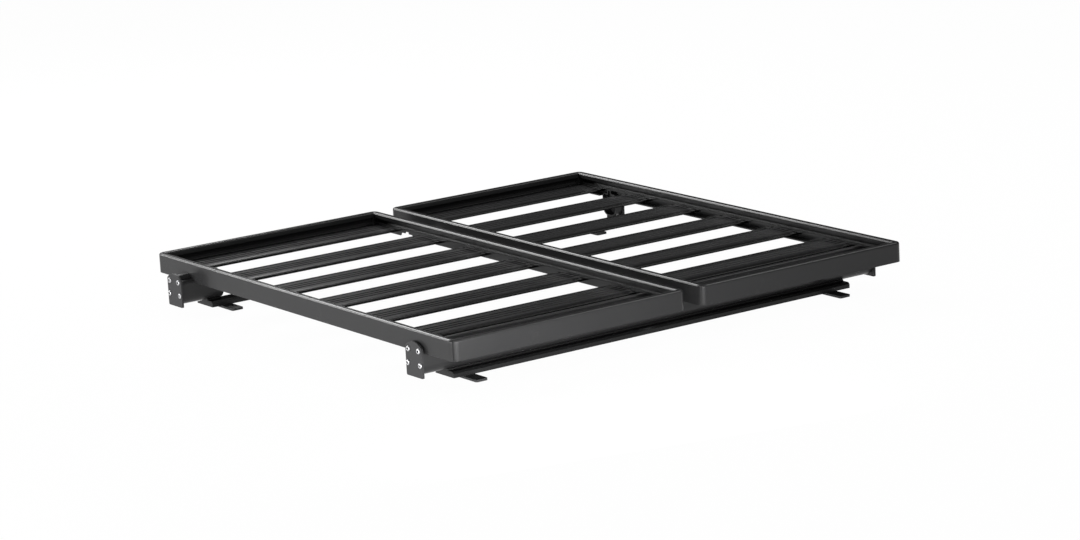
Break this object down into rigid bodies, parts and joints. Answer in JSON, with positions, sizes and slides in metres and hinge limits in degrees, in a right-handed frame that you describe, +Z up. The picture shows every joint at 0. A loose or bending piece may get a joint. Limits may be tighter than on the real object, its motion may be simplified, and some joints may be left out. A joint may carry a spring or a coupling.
{
  "type": "flat platform roof rack",
  "caption": "Flat platform roof rack: paired shallow trays of ribbed slats in channelled rails, carried on a cross beam with arched end plates, tracks and feet.",
  "frame": {"origin": "on the ground under the middle of the whole rack, level with the undersides of the feet", "axes": "+X along the slats from the left tray to the right tray, +Y from the near edge to the far edge, +Z up"},
  "size_m": [1.1988, 1.156, 0.1085],
  "materials": {
    "rail_coat": "satin black powder coat",
    "slat_coat": "satin black powder coat, three shallow grooves",
    "beam_coat": "satin black powder coat",
    "track_coat": "black anodised",
    "bolt_steel": "bright stainless"
  },
  "bodies": {
    "root": {"left_tray_near_rail": "rail_coat", "left_tray_far_rail": "rail_coat", "left_tray_outer_rail": "rail_coat", "left_tray_inner_rail": "rail_coat", "left_tray_slat_1": "slat_coat", "left_tray_slat_2": "slat_coat", "left_tray_slat_3": "slat_coat", "left_tray_slat_4": "slat_coat", "left_tray_slat_5": "slat_coat", "left_tray_slat_6": "slat_coat", "left_tray_slat_7": "slat_coat", "right_tray_near_rail": "rail_coat", "right_tray_far_rail": "rail_coat", "right_tray_outer_rail": "rail_coat", "right_tray_inner_rail": "rail_coat", "right_tray_slat_1": "slat_coat", "right_tray_slat_2": "slat_coat", "right_tray_slat_3": "slat_coat", "right_tray_slat_4": "slat_coat", "right_tray_slat_5": "slat_coat", "right_tray_slat_6": "slat_coat", "right_tray_slat_7": "slat_coat", "near_beam": "beam_coat", "far_left_beam_end": "beam_coat", "far_right_beam_end": "beam_coat", "near_left_end_plate": "beam_coat", "near_right_end_plate": "beam_coat", "far_left_end_plate": "beam_coat", "far_right_end_plate": "beam_coat", "near_track": "track_coat", "far_track": "track_coat", "near_left_foot": "track_coat", "near_right_foot": "track_coat", "far_left_foot": "track_coat", "far_right_foot": "track_coat"}
  },
  "joints": []
}
